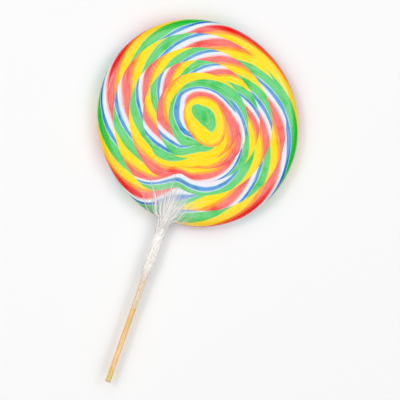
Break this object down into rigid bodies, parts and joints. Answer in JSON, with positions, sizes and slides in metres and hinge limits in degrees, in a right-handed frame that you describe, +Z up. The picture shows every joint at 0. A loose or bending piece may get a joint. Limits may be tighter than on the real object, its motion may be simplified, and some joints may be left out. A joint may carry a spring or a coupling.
{
  "type": "swirl lollipop",
  "caption": "Flat round lollipop wound from a twisted five-colour sugar rope, on a thin bamboo stick, with clear film gathered and twisted around the stick.",
  "frame": {"origin": "on the surface the lollipop lies on, below the middle of its bounding box", "axes": "+Z up through the face that shows; +Y along the stick from its free end towards the disc; +X to the right of the disc as seen from above"},
  "size_m": [0.1016, 0.1838, 0.0092],
  "materials": {
    "hard_candy": "gloss",
    "bamboo": "matte",
    "clear_film": "gloss"
  },
  "bodies": {
    "root": {"candy": "hard_candy", "stick": "bamboo", "film": "clear_film"}
  },
  "joints": []
}
